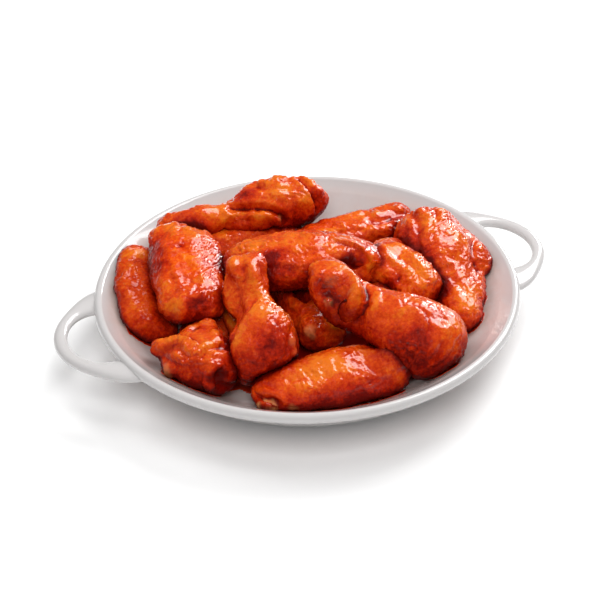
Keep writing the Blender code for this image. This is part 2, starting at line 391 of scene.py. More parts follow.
def sauced_skin():
    """Roast skin under a thick glossy sauce: orange where the sauce is thin, deep red where it gathers, and
    mixed towards near black as painted shade in gaps and hollows.
    """
    skin = Finish("sauced_skin", Subsurface_Weight=0.10, Subsurface_Radius=(1.0, 0.25, 0.08),
                  Subsurface_Scale=0.0016, Coat_Roughness=0.14, Coat_IOR=1.6, IOR=1.14)
    tone = skin.painted("tone")
    gathered = skin.painted("gathered")
    pale = skin.painted("pale")
    shaded = skin.painted("shaded")
    mottle = skin.noise(11 * MM, 3.0, 0.55, 0.4)
    speck = skin.noise(2.4 * MM, 3.0, 0.65)
    pore = skin.noise(1.1 * MM, 2.0, 0.6)
    # The orange share: more where the sauce is thin and on painted lit tops, less in painted shade in gaps
    # and hollows.
    thin = (tone * 0.5 + 0.5 + (mottle - 0.5) * 1.0 + (speck - 0.5) * 0.8 + (pore - 0.5) * 0.3
            - gathered * 0.75 - shaded * 0.8).clamped()
    sauce = skin.node("ValToRGB", {"stops": ((0.0, DEEP), (0.34, RED), (0.66, BRIGHT), (1.0, ORANGE))},
                      {"Fac": thin})
    meat = skin.mixed(pale.clamped(), sauce, skin.mixed(skin.noise(4 * MM), FAT, BONE))
    # Painted shade: the colour goes towards near black in gaps beside a neighbour and in hollows.
    colour = skin.mixed((shaded * 1.05 - pale * 0.4).clamped(), meat, SHADE_BLACK)
    grain = skin.noise(1.3 * MM, 2.0, 0.6) * 0.6 + skin.noise(0.7 * MM, 1.0) * 0.25
    gloss = (skin.painted("gloss") * (1.0 - pale * 0.3 - (mottle - 0.5) * 0.5)).clamped()
    return skin.finish(Base_Color=colour, Roughness=speck * 0.16 + 0.10, Coat_Weight=gloss,
                       Normal=skin.bumped(grain, 0.55 * MM, 1.0))


def porcelain():
    """White glazed porcelain, faintly stained where the wings and their sauce touch it, and further out
    tinted with painted red light bounced from the wings.
    """
    glaze = Finish("porcelain", Roughness=0.16, IOR=1.5, Coat_Weight=0.5, Coat_Roughness=0.05)
    stain = glaze.painted("stain")
    streak = glaze.noise(7 * MM, 3.0, 0.6, 0.6)
    stain_and_bounce_share = (stain * (streak * 1.3 + 0.25)).clamped()
    colour = glaze.mixed(stain_and_bounce_share, GLAZE, STAINED_AND_BOUNCE_GLAZE)
    wave = glaze.noise(18 * MM, 1.0)
    return glaze.finish(Base_Color=colour, Normal=glaze.bumped(wave, 0.12 * MM, 0.5))


def sauce_and_shade_pool():
    """The sauce that has run off the wings: a deep red layer, paler where it thins out, whose deepest part
    under the heap is also painted shade.
    """
    pool = Finish("sauce_and_shade_pool", Roughness=0.18, Coat_Weight=1.0, Coat_Roughness=0.05)
    depth = pool.painted("depth")
    lump = pool.noise(5 * MM, 2.0)
    colour = pool.node("ValToRGB", {"stops": ((0.0, BRIGHT), (0.25, RED), (0.8, DEEP))},
                       {"Fac": (depth + (lump - 0.5) * 0.3).clamped()})
    return pool.finish(Base_Color=colour, Alpha=(depth * 5.0 + 0.1).clamped(),
                       Normal=pool.bumped(pool.noise(2 * MM, 1.0), 0.1 * MM, 0.5))


# ---------------------------------------------------------------- the wings

class Wing:
    """The skin of one wing, taken from its solid and shaped like clay.

    A place on it is (share, angle): share runs along the bone from -1 at one end to 1 at the other, and
    angle goes round it in degrees, with 0 on top and 90 on the right hand of someone looking along it.
    Lengths are in millimetres.
    """

    def __init__(self, node):
        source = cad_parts[node]
        chosen(source)
        self.node = node
        self.piece = source.copy()
        self.piece.data = source.data.copy()
        self.piece.name = self.piece.data.name = node + "_skin"
        self.piece.hide_render = self.piece.hide_viewport = False
        bpy.context.scene.collection.objects.link(self.piece)
        edited(self.piece, lambda: bpy.ops.mesh.remove_doubles(threshold=MERGED * MM))
        self.find_axis(points_of(self.piece))
        solid = surface_of(self.piece)
        finished(self.piece, "SUBSURF", levels=2, render_levels=2)
        finished(self.piece, "REMESH", mode="VOXEL", voxel_size=VOXEL * MM, use_smooth_shade=True)
        finished(self.piece, "SMOOTH", factor=0.5, iterations=int(ROUNDING / VOXEL))
        self.points = points_of(self.piece)
        self.edges = edges_of(self.piece)
        lost = np.array([solid.find_nearest(Vector(p))[0] for p in self.points]) - self.points
        self.points += eased(lost, self.edges, int(REFILLING / VOXEL))
        move_points(self.piece, self.points)
        self.points += normals_of(self.piece) * PUFF * MM
        move_points(self.piece, self.points)
        self.normals = normals_of(self.piece)
        self.surface = surface_of(self.piece)
        self.tone = np.zeros(len(self.points))
        self.pale = np.zeros(len(self.points))
        self.grain = np.ones(len(self.points))
        self.painted_shade = np.zeros(len(self.points))
        self.wet = np.ones(len(self.points))
        self.shine = 1.0

    def find_axis(self, points):
        middle = points.mean(0)
        _, _, axes = np.linalg.svd(points - middle, full_matrices=False)
        self.along = axes[0] if axes[0][0] + 0.5 * axes[0][1] > 0 else -axes[0]
        reach = (points - middle) @ self.along
        self.half = (reach.max() - reach.min()) / 2
        self.middle = middle + self.along * (reach.max() + reach.min()) / 2
        self.side = np.cross(self.along, (0, 0, 1.0))
        self.side /= np.linalg.norm(self.side)
        self.up = np.cross(self.side, self.along)

    def at(self, share, angle):
        """The point of the skin at this place, and the skin's direction there."""
        turn = math.radians(angle)
        out = self.up * math.cos(turn) + self.side * math.sin(turn)
        axis = self.middle + self.along * self.half * share
        found = self.surface.ray_cast(Vector(axis + out * 60 * MM), Vector(-out), 60 * MM)
        if found[0] is None:
            found = self.surface.find_nearest(Vector(axis + out * 10 * MM))
        return np.array(found[0]), np.array(found[1])

    def settle(self):
        move_points(self.piece, self.points)
        self.normals = normals_of(self.piece)

    def lie(self, normal, turn):
        """The direction along the skin that is turned this far from the bone."""
        flat = self.along - normal * (self.along @ normal)
        return np.array(Matrix.Rotation(math.radians(turn), 3, Vector(normal)) @ Vector(flat).normalized())

    def raised(self, heights):
        """Moves each point out along its normal by its height in millimetres."""
        self.points += self.normals * (heights * MM)[:, None]
        self.settle()

    def near(self, place, radius, stretch=1.0, turn=0.0):
        """1 at a place, falling to 0 at the radius. A stretch lengthens it along the bone, or at a turn."""
        centre, normal = self.at(*place)
        away = self.points - centre
        if stretch != 1.0:
            lie = self.lie(normal, turn)
            away = away - np.outer(away @ lie, lie) * (1 - 1 / stretch)
        gap = np.linalg.norm(away, axis=1) / (radius * MM)
        gap *= 1 + 0.30 * noise(self.points, 0.6 * radius * MM, 8) * step_up(gap, 0.1, 0.5)
        return (1 - step_up(gap, 0.0, 1.0)) * step_up(self.normals @ normal, -0.3, 0.3)

    def swell(self, place, radius, height, stretch=1.0, turn=0.0):
        """Raises the skin around a place, or sinks it with a height below 0."""
        self.raised(self.near(place, radius, stretch, turn) * height)

    def line_gaps(self, places, wobble=0.5):
        """Each point's distance to a line over the skin, its side, and a share that fades at the ends."""
        found = [self.at(*p) for p in places]
        line = smooth_line([f[0] for f in found])
        facing = smooth_line([f[1] for f in found])
        moved = self.points + wobble * MM * np.stack([noise(self.points, 5 * MM, k) for k in (1, 2, 3)], 1)
        near = np.argmin(((moved[:, None] - line[None]) ** 2).sum(2), axis=1)
        away = moved - line[near]
        ahead = np.gradient(line, axis=0)
        right = np.cross(ahead, facing)
        right /= np.linalg.norm(right, axis=1)[:, None]
        gap = np.linalg.norm(away, axis=1) / MM
        side = (away * right[near]).sum(1) / MM
        share = near / (len(line) - 1)
        ends = np.sqrt(np.clip(np.minimum(share, 1 - share) * 5, 0, 1))
        return gap, side, ends * step_up((self.normals * facing[near]).sum(1), -0.2, 0.35)

    def crease(self, places, width, depth, lip=0.3):
        """Folds the skin in along a line, with a soft swelling along both its sides."""
        gap, _, fade = self.line_gaps(places)
        deep = np.exp(-(gap / width) ** 1.5)
        beside = np.exp(-((gap - 2.1 * width) / (1.1 * width)) ** 2)
        self.raised((lip * beside - deep) * depth * fade)

    def ridge(self, places, width, height):
        """Raises a soft ridge along a line."""
        gap, _, fade = self.line_gaps(places)
        self.raised(np.exp(-(gap / width) ** 2) * height * fade)

    def ledge(self, places, height, reach, edge=0.9):
        """A skin's free edge along a line: it stands up on the line's left, and falls away on its right."""
        gap, side, fade = self.line_gaps(places)
        above = step_up(-side, -edge / 2, edge / 2) * np.exp(-(gap / reach) ** 2)
        below = step_up(side, -edge / 2, edge / 2) * np.exp(-(gap / (0.45 * reach)) ** 2)
        self.raised((above - 0.8 * below) * height * fade)

    def ripples(self, place, radius, spacing, height, turn=0.0, stretch=1.0):
        """Fine folds that run across the direction turned from the bone."""
        centre, normal = self.at(*place)
        phase = (self.points - centre) @ self.lie(normal, turn) / MM
        phase += 1.6 * spacing * noise(self.points, 6 * MM, 5)
        share = self.near(place, radius, stretch, turn) * (0.6 + 0.5 * noise(self.points, 4 * MM, 6))
        self.raised(np.sin(phase * 2 * math.pi / spacing) * share * height)

    def tint(self, place, radius, amount, stretch=1.0, turn=0.0):
        """Thins the sauce to orange around a place, or with an amount below 0 thickens it to red. Where
        marked, a place below 0 is painted shade on a side turned from the light.
        """
        self.tone += amount * self.near(place, radius, stretch, turn)

    def bare(self, place, radius, amount=1.0, stretch=1.0, turn=0.0):
        """Bares bone, gristle or fat around a place."""
        share = self.near(place, radius, stretch, turn)
        self.pale += amount * step_up(share, 0.0, 0.8)

    def paint_shade(self, place, radius, amount=1.0, stretch=1.0, turn=0.0):
        """Paints shade around a place, mixing the sauce towards near black; an amount below 0 takes painted
        shade away.
        """
        self.painted_shade += amount * self.near(place, radius, stretch, turn)

    def matt(self, place, radius, amount=1.0, stretch=1.0, turn=0.0):
        """Takes the gloss off the sauce around a place."""
        self.wet -= amount * self.near(place, radius, stretch, turn)

    def smooth_out(self, place, radius, amount=1.0, stretch=1.0, turn=0.0):
        """Fills the fine grain with sauce around a place, or with an amount below 0 brings it out."""
        self.grain -= amount * self.near(place, radius, stretch, turn)

    def flatten(self, place, radius, amount=0.7, stretch=1.0, turn=0.0, sink=0.6):
        """Presses a flat face on to the skin around a place."""
        centre, normal = self.at(*place)
        share = amount * step_up(self.near(place, radius, stretch, turn), 0.0, 0.6)
        above = (self.points - centre) @ normal + sink * MM
        self.points -= np.outer(above * share, normal)
        self.settle()

    def relief(self):
        """Lumps, wrinkles and goose bumps all over, finer ones where less sauce lies."""
        seed = sum(map(ord, self.node)) % 97
        flat = self.points - self.middle
        self.raised(sum(height * noise(flat, size * MM, seed + k) for size, height, k in LUMPS))
        askew = 0.64 * self.along + 0.77 * self.side
        warped = flat + 3.0 * MM * np.stack([noise(flat, 10 * MM, seed + k) for k in (6, 7, 8)], 1)
        stretched = warped - 0.50 * np.outer(warped @ askew, askew)
        rough = 0.20 + 0.80 * step_up(noise(flat, 12 * MM, seed + 3), -0.35, 0.45)
        folds = sum(height * (FOLD_CREST - np.abs(noise(stretched, size * MM, seed + k))) * rough
                    for size, height, k in FOLDS)
        bumps = sum(height * noise(flat, size * MM, seed + k) for size, height, k in BUMPS)
        grain = np.clip(self.grain, 0, 2)
        self.raised((0.35 + 0.65 * grain) * folds + grain * bumps)

    def made(self, others, material):
        """Fills narrow hollows with sauce, keeps under the box's top, and paints the sauce on, with painted
        shade in gaps and hollows and painted light on tops.
        """
        self.relief()
        calm = eased(self.points, self.edges, FINE_ROUNDS)
        sunk = ((calm - self.points) * self.normals).sum(1)
        self.points += self.normals * (0.45 * np.clip(sunk, 0, None))[:, None]
        over = np.clip(self.points[:, 2] - (CAD_BOX[1][2] - HEADROOM * MM), 0, None) / (HEADROOM * MM)
        self.points[:, 2] -= (over - 1 + np.exp(-over)) * HEADROOM * MM
        self.settle()
        calm = eased(self.points, self.edges, BROAD_ROUNDS)
        sunk = ((calm - self.points) * self.normals).sum(1) / MM
        room = gaps_to(others, self.points) / MM
        # Painted shade: beside a neighbour and in hollows the sauce is painted redder, partly as sauce that
        # gathers there, and is mixed towards near black.
        gathered = np.clip(GATHER_AND_SHADE_SHARE * np.exp(-room / GATHER_AND_SHADE_REACH) + 0.5 * step_up(sunk, 0.1, 1.4), 0, 1)
        shaded = SHADE_SHARE * np.exp(-(room / SHADE_REACH) ** 1.5) + 0.55 * step_up(sunk, 0.5, 2.0)
        upward = eased(self.normals, self.edges, 20)[:, 2]
        # Tops are painted more orange and sides redder: partly thinner sauce on top, partly painted light on
        # tops and painted shade on sides.
        lit_top_and_thin_sauce = 0.78 * upward - 0.26
        # Raised bumps and ridges are painted more orange.
        ridge_tone = 0.35 * step_up(-sunk, 0.1, 1.2)
        broad = 0.30 * noise(self.points, 22 * MM, 11)
        paint(self.piece, "tone", np.clip(self.tone + lit_top_and_thin_sauce + ridge_tone + broad, -1.2, 1.2))
        paint(self.piece, "gathered", gathered)
        paint(self.piece, "shaded", np.clip(shaded + self.painted_shade, 0, 1))
        gloss = TOP_GLOSS * step_up(upward, 0.20, 0.66) * self.shine * np.clip(self.wet, 0, 1)
        paint(self.piece, "gloss", LEAST_GLOSS + gloss)
        paint(self.piece, "pale", np.clip(self.pale, 0, 1))
        self.piece.data.materials.clear()
        self.piece.data.materials.append(material)
        for face in self.piece.data.polygons:
            face.use_smooth = True
        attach(self.piece, "root")
        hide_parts(self.node)


WINGS = [name for name in sorted(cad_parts) if name != "dish"]


def make_wings():
    skin = sauced_skin()
    for name in WINGS:
        wing = Wing(name)
        SHAPES[name](wing)
        others = surface_of(*(solid for other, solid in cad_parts.items() if other != name))
        wing.made(others, skin)


def shape_flat_left_top(wing):
    wing.crease([(0.85, -30), (0.45, -34), (0.0, -38), (-0.5, -36), (-0.8, -48)], 3.0, 0.8)
    wing.ridge([(0.8, 20), (0.3, 32), (-0.2, 30), (-0.65, 22)], 4.0, 0.7)
    wing.ridge([(-0.72, -20), (-0.75, 15), (-0.72, 45), (-0.6, 75)], 3.2, 0.9)
    wing.crease([(0.95, 10), (0.7, 8), (0.5, 0)], 1.6, 0.9)
    wing.crease([(-0.86, -60), (-0.9, -10), (-0.84, 40)], 2.0, 0.7)
    wing.flatten((0.0, 58), 22, 0.75, stretch=1.5)
    wing.flatten((0.0, -66), 20, 0.70, stretch=1.6)
    wing.flatten((-0.96, 0), 15, 0.60)
    wing.ridge([(0.80, -22), (0.40, -30), (0.0, -34), (-0.5, -32), (-0.78, -30)], 2.6, 1.0)
    wing.swell((0.98, 0), 14, -1.4)
    wing.swell((0.82, 62), 15, -4.6)
    wing.swell((0.90, -66), 12, -3.4)
    wing.matt((0.05, -78), 24, 0.9, stretch=2.0)
    wing.matt((0.10, -12), 16, 0.8, stretch=1.8)
    wing.matt((-0.25, 16), 13, 0.7, stretch=1.6)
    wing.matt((-0.20, -19), 13, 0.8, stretch=1.6)
    wing.ripples((0.15, 52), 20, 2.6, 0.42, turn=50, stretch=1.4)
    wing.ripples((-0.35, 50), 16, 3.0, 0.40, turn=40)
    wing.tint((0.0, 0), 17, 0.05, stretch=1.8)
    # Painted shade: the left side is painted redder.
    wing.tint((0.1, -72), 20, -1.0, stretch=2.0)
    wing.tint((-0.88, 15), 16, -0.70)
    wing.swell((-0.96, -56), 8, 2.2)
    wing.tint((-0.93, -62), 8, 0.9)
    wing.tint((0.8, 20), 10, -0.3)


def shape_flat_left_outer(wing):
    wing.crease([(0.9, -20), (0.4, -30), (-0.1, -25), (-0.6, -35)], 2.6, 0.8)
    wing.ridge([(0.8, -55), (0.3, -60), (-0.3, -58), (-0.7, -60)], 4.0, 0.8)
    wing.tone -= 0.08
    wing.painted_shade += 0.12
    wing.tint((0.65, -30), 13, 0.5)
    wing.tint((-0.2, -40), 20, 0.15, stretch=1.6)
    wing.tint((-0.45, -70), 10, -0.4, stretch=1.5)
    wing.tint((-0.9, -20), 10, -0.2)
    wing.bare((0.72, -22), 5, 0.45)
    wing.smooth_out((0, -40), 40, -0.8)
    wing.shine = 0.4


def shape_drumette_back_left(wing):
    wing.swell((-0.50, 75), 17, 3.6, stretch=1.4)
    wing.swell((-0.50, 104), 15, 5.5, stretch=1.3)
    wing.swell((0.42, -18), 11, 2.6)
    wing.swell((-0.55, 10), 16, 1.6, stretch=1.5)
    wing.swell((0.10, 84), 11, 2.6, stretch=1.7)
    wing.crease([(-0.22, 30), (-0.02, 48), (0.18, 58), (0.36, 76), (0.43, 104)], 1.8, 3.4)
    wing.crease([(-0.10, 118), (0.12, 112), (0.34, 108)], 1.8, 2.2)
    wing.crease([(0.64, -26), (0.72, 8), (0.77, 36), (0.80, 64), (0.80, 96)], 1.9, 3.4, lip=0.5)
    wing.crease([(0.86, -20), (0.90, 14), (0.94, 50)], 1.4, 1.4)
    wing.crease([(0.1, -30), (0.25, 5), (0.45, 22), (0.56, 30)], 2.6, 1.2)
    wing.crease([(-0.85, 20), (-0.6, 50), (-0.35, 62), (-0.1, 90)], 2.0, 1.2)
    wing.swell((0.62, -18), 3.6, 1.8)
    wing.swell((0.24, -24), 3.4, 1.5)
    wing.swell((0.86, 34), 4.8, 1.8)
    wing.swell((0.90, 66), 4.8, 1.6)
    wing.swell((0.82, -6), 4.4, 1.6)
    wing.swell((0.64, 48), 6.0, 1.2, stretch=1.4, turn=70)
    wing.swell((0.40, 28), 9, 1.3)
    wing.ripples((0.82, 30), 10, 3.4, 0.5, turn=50)
    wing.tint((0.44, 30), 13, 0.45, stretch=1.3)
    wing.tint((0.04, 5), 11, -1.1)
    wing.tint((0.84, 40), 11, -0.8)
    wing.tint((0.55, -15), 8, -0.3)
    wing.tint((0.12, 80), 9, 0.3)
    wing.tint((-0.45, 50), 12, -0.45, stretch=1.8)
    wing.tint((-0.08, 40), 5, 0.5)
    wing.bare((0.34, 84), 3.4, 0.3)
    wing.smooth_out((-0.4, 40), 20, 0.7)


def shape_flat_back_center(wing):
    wing.swell((0.0, 10), 26, 3.0, stretch=2.4)
    wing.painted_shade -= 0.30
    wing.crease([(-0.6, 10), (-0.1, 20), (0.4, 15)], 2.0, 1.0)
    wing.ridge([(-0.8, 40), (-0.3, 35), (0.3, 40)], 3.0, 0.8)
    wing.tint((0.2, 20), 16, 0.2)


def shape_flat_center(wing):
    wing.crease([(-0.92, 25), (-0.55, 44), (-0.1, 42), (0.3, 44)], 3.0, 0.5, lip=0.5)
    wing.swell((0.74, 74), 14, -8.0, stretch=1.4)
    wing.ledge([(0.34, 2), (0.52, 12), (0.68, 20), (0.80, 40), (0.90, 64), (0.97, 84)], 1.9, 4.0)
    wing.crease([(-0.2, -50), (0.1, -30), (0.35, -22)], 2.0, 0.8)
    wing.crease([(-0.96, -6), (-0.72, 4), (-0.45, 6), (-0.25, 0)], 1.3, 0.9)
    wing.crease([(-0.96, 18), (-0.76, 24), (-0.52, 20)], 1.2, 0.8)
    wing.tint((-0.36, 40), 9, -1.1, stretch=1.3)
    wing.crease([(-0.75, 75), (-0.5, 62), (-0.2, 66), (0.1, 78)], 2.0, 1.1)
    wing.ripples((-0.1, 62), 14, 3.0, 0.35, turn=20, stretch=1.3)
    wing.ripples((0.55, 10), 10, 2.4, 0.30, turn=40)
    wing.tint((-0.6, -8), 12, 0.30, stretch=1.6)
    wing.tint((-0.74, 8), 6, 0.5, stretch=2.5)
    wing.tint((0.0, -14), 13, 0.25, stretch=1.6)
    wing.tint((0.5, -15), 12, 0.25)
    wing.tint((0.35, 40), 10, 0.15)
    wing.tone -= 0.12
    # Painted shade: the lower front face is painted redder.
    wing.tint((-0.45, 66), 13, -0.85)
    wing.tint((0.15, 80), 14, -0.5)
    wing.tint((0.68, 62), 8, -0.8)
    wing.tint((0.86, 84), 10, 1.6)
    wing.paint_shade((0.88, 84), 8, -0.7)
    wing.paint_shade((0.58, 62), 9, 0.85, stretch=1.4)
    wing.paint_shade((-0.55, 80), 12, 0.5)
    wing.matt((0.10, 36), 13, 0.6, stretch=1.3)


def shape_drumette_center(wing):
    wing.ridge([(0.98, -48), (0.80, -48), (0.55, -46)], 3.2, 1.5)
    wing.ridge([(0.98, 22), (0.75, 14), (0.50, 18), (0.22, 38), (0.02, 60)], 3.4, 1.5)
    wing.crease([(0.98, -14), (0.70, -16), (0.42, -14)], 2.6, 1.7)
    wing.crease([(0.95, 60), (0.70, 52), (0.45, 60)], 2.2, 1.0)
    wing.ledge([(0.22, 36), (0.02, -2), (-0.20, -32), (-0.42, -52), (-0.62, -64), (-0.8, -70)], 2.3, 9.0)
    wing.crease([(0.25, -70), (0.0, -62), (-0.2, -68)], 2.2, 1.2)
    wing.crease([(-0.1, 40), (-0.35, 22), (-0.62, 12), (-0.85, 0)], 2.6, 0.8)
    wing.crease([(-0.25, 62), (-0.5, 48), (-0.75, 42)], 2.0, 1.1)
    wing.swell((-0.60, 52), 4.5, 1.2)
    wing.swell((-0.74, 62), 3.6, 1.3)
    wing.ripples((-0.35, 36), 13, 2.8, 0.45, turn=60)
    wing.tint((-0.12, 8), 10, 0.75)
    wing.tint((-0.45, -48), 7, 0.6, stretch=2.0, turn=-15)
    wing.tint((-0.65, 8), 17, -0.95)
    wing.tint((-0.45, 45), 10, -0.5)
    wing.tint((0.05, -30), 9, -0.3)
    wing.tint((0.55, -10), 9, 0.35)
    wing.tint((0.84, 40), 9, -0.5)
    wing.bare((-0.62, 52), 4.5, 0.16)
    wing.bare((-0.74, 62), 4.0, 0.12)
    wing.smooth_out((-0.6, -20), 22, 0.6)
    wing.smooth_out((0.5, 0), 22, 0.6)


def shape_drumette_right_front(wing):
    wing.flatten((-0.68, 58), 20, 0.85, sink=3.4)
    wing.crease([(-0.50, -45), (-0.32, -10), (-0.22, 30), (-0.20, 65), (-0.26, 100)], 2.4, 2.4)
    wing.ridge([(-0.98, 60), (-0.97, 5), (-0.84, -14), (-0.64, -12),
                (-0.48, 3), (-0.37, 28), (-0.34, 62), (-0.38, 95)], 2.6, 4.2)
    wing.crease([(-0.84, 26), (-0.78, 48), (-0.80, 72)], 1.4, 0.8)
    wing.bare((-0.82, -14), 4.0, 0.22)
    wing.bare((-0.64, -12), 4.0, 0.28)
    wing.bare((-0.49, 3), 4.0, 0.28)
    wing.bare((-0.41, 30), 4.0, 0.22)
    wing.swell((-0.44, 116), 16, 6.5, stretch=1.2)
    wing.swell((-0.60, 88), 3.8, 2.4)
    wing.paint_shade((-0.42, 100), 15, 0.65, stretch=1.2)
    wing.ripples((-0.72, 52), 13, 3.4, 0.5, turn=72)
    wing.matt((-0.28, 15), 9, 0.8)
    wing.ledge([(0.58, 34), (0.50, 18), (0.38, 6), (0.22, 8), (0.16, 20)], 1.2, 5.0)
    wing.crease([(0.89, 10), (0.92, 40), (0.86, 78), (0.76, 98)], 1.4, 0.9)
    wing.crease([(0.76, 30), (0.80, 54), (0.70, 84), (0.60, 96)], 1.5, 1.0)
    wing.crease([(-0.30, 20), (-0.24, 50), (-0.28, 80)], 2.5, 0.9)
    wing.swell((0.50, 62), 9, 0.9)
    wing.ripples((0.55, 78), 16, 4.5, 0.7, turn=10)
    wing.ripples((0.45, -5), 14, 2.6, 0.3, turn=60)
    wing.tint((-0.68, 62), 15, -0.8)
    wing.tint((-0.62, -12), 8, 0.5, stretch=2.0)
    wing.tint((-0.12, 35), 14, 0.20)
    # Painted shade: the front of the body is painted redder.
    wing.tint((0.50, 55), 20, -1.0, stretch=1.3)
    wing.tint((0.45, 0), 12, -0.2, stretch=1.5)
    wing.tint((0.92, 30), 9, 0.3)
    wing.bare((-0.60, 88), 4.2, 0.7)
    wing.bare((-0.70, 40), 7.0, 0.12)
    wing.smooth_out((-0.1, 40), 20, 0.8)
    wing.smooth_out((0.5, 50), 20, 0.4)


def shape_flat_front(wing):
    wing.crease([(-0.98, 40), (-0.86, 76), (-0.68, 92), (-0.50, 98)], 1.8, 1.6)
    wing.swell((0.84, 34), 17, 4.6)
    wing.swell((0.92, 4), 14, 5.5)
    wing.swell((0.80, 6), 15, 3.5)
    wing.crease([(-0.99, 92), (-0.93, 80), (-0.82, 80), (-0.72, 92)], 2.0, 2.6)
    wing.swell((-0.89, 98), 5.0, 3.4, stretch=1.5)
    wing.crease([(-0.70, 10), (-0.45, 34), (-0.10, 48), (0.30, 60)], 2.4, 0.8)
    wing.ridge([(-0.6, 50), (-0.2, 52), (0.2, 56), (0.6, 60)], 3.0, 0.5)
    wing.crease([(0.70, -30), (0.80, 20), (0.80, 60), (0.72, 95)], 2.0, 0.7)
    wing.crease([(-0.85, -10), (-0.80, 30), (-0.72, 60)], 2.0, 0.8)
    wing.ripples((-0.25, 62), 14, 3.2, 0.4, turn=10, stretch=1.5)
    wing.tint((-0.12, 14), 12, 1.0, stretch=1.9)
    wing.tint((0.60, 45), 14, -0.35)
    # Painted shade: the lower front face is painted redder.
    wing.tint((0.0, 85), 16, -0.40, stretch=2.6)
    wing.tint((-0.75, 28), 11, -0.45)
    wing.tint((-0.65, 95), 7, 0.6)
    wing.bare((-0.89, 98), 5.4, 1.2, stretch=1.6)
    wing.bare((-0.58, 96), 4.5, 0.25)
    wing.smooth_out((-0.8, 60), 14, 0.6)


def shape_drumette_front_left(wing):
    wing.swell((0.16, 4), 11, 2.0)
    wing.swell((-0.97, 88), 6, -5.0)
    wing.swell((-0.92, 128), 6, 3.0)
    wing.ledge([(-0.64, 10), (-0.50, -18), (-0.40, -40), (-0.36, -60), (-0.42, -84)], 3.2, 6.0)
    wing.ridge([(0.35, 18), (0.05, 32), (-0.30, 38), (-0.50, 44)], 3.2, 1.7)
    wing.crease([(0.30, -8), (0.0, -6), (-0.30, -14)], 2.0, 1.5)
    wing.crease([(-0.45, 70), (-0.62, 45), (-0.78, 30), (-0.92, 25)], 2.0, 1.8)
    wing.crease([(-0.62, -40), (-0.78, -30), (-0.94, -10)], 1.8, 2.0)
    wing.crease([(-0.60, -72), (-0.78, -66), (-0.94, -60)], 1.6, 1.6)
    wing.swell((-0.55, 95), 12, 2.0)
    wing.crease([(-0.98, 100), (-0.88, 118), (-0.70, 122)], 2.2, 2.6)
    wing.swell((-0.80, -95), 4.0, 1.8, stretch=1.6, turn=80)
    wing.ripples((-0.84, -50), 11, 3.4, 0.8, turn=70)
    wing.ripples((-0.75, 10), 10, 2.8, 0.5, turn=-40)
    wing.paint_shade((-0.60, 112), 12, 0.7)
    wing.paint_shade((-0.97, 90), 7, 1.1)
    wing.paint_shade((-0.58, -52), 6, 0.35, stretch=1.8, turn=80)
    wing.tone -= 0.12
    wing.tint((-0.42, -52), 6, 0.5, stretch=1.8, turn=80)
    wing.tint((0.10, -5), 10, 0.45)
    wing.tint((-0.18, 6), 9, -0.55)
    wing.matt((-0.18, 6), 9, 0.4)
    wing.tint((0.22, 14), 5, -0.7)
    wing.tint((-0.04, 4), 4, -0.6)
    wing.tint((-0.80, 18), 9, 0.5)
    wing.tint((-0.90, 95), 14, -0.5)
    wing.bare((-0.80, -92), 5.0, 0.34, stretch=1.7, turn=80)
    wing.bare((0.0, -14), 4.0, 0.25)
    wing.smooth_out((-0.3, 20), 18, 0.5)


def shape_flat_low_left(wing):
    wing.swell((-0.6, -55), 13, 3.0)
    wing.tone += 0.2
    wing.painted_shade -= 0.4
    wing.tint((-0.7, -60), 14, 0.7)
    wing.bare((-0.7, -75), 7, 0.4)


def shape_flat_center_low(wing):
    wing.ridge([(0.50, -62), (0.20, -58), (-0.05, -50), (-0.28, -40), (-0.45, -30)], 3.0, 1.8)
    wing.crease([(0.40, -26), (0.10, -22), (-0.15, -16), (-0.30, -4)], 2.2, 2.8, lip=0.4)
    wing.ridge([(-0.05, 20), (-0.30, 14), (-0.52, 4)], 3.0, 1.4)
    wing.crease([(-0.9, -20), (-0.7, 0), (-0.6, 30)], 1.8, 1.0)
    wing.swell((-0.92, -52), 3.6, 1.4)
    wing.tone -= 0.35
    wing.tint((0.05, -8), 14, -0.6, stretch=1.5)
    wing.tint((-0.86, 45), 9, 0.7)
    wing.tint((-0.45, 10), 9, 0.2)
    wing.bare((-0.90, -56), 6.5, 0.35)
    wing.painted_shade -= 0.30
    wing.shine = 0.6


def shape_flat_right_center(wing):
    wing.swell((0.40, -76), 18, 5.5, stretch=1.4)
    wing.ridge([(0.6, 34), (0.1, 30), (-0.4, 20), (-0.9, 10)], 3.0, 1.2)
    wing.paint_shade((-0.40, 78), 9, 0.8, stretch=2.5)
    wing.crease([(0.45, -72), (0.05, -48), (-0.30, -52), (-0.60, -70)], 2.0, 1.5)
    wing.crease([(0.5, 0), (0.1, -10), (-0.4, -8), (-0.8, -20)], 2.0, 0.9)
    wing.ripples((-0.1, 28), 14, 2.1, 0.35, turn=70, stretch=1.6)
    wing.swell((-0.42, -25), 3.0, 0.9)
    wing.matt((0.45, -36), 11, 0.8)
    wing.matt((0.36, -22), 9, 0.6)
    wing.tint((0.28, -25), 12, 1.2)
    wing.tint((0.45, -74), 17, 1.5, stretch=1.3)
    wing.tint((-0.5, -10), 11, 0.3)
    wing.tint((-0.35, -76), 7, -0.6)
    wing.paint_shade((0.40, -76), 17, -0.8, stretch=1.3)
    wing.bare((0.15, -88), 5, 0.45)


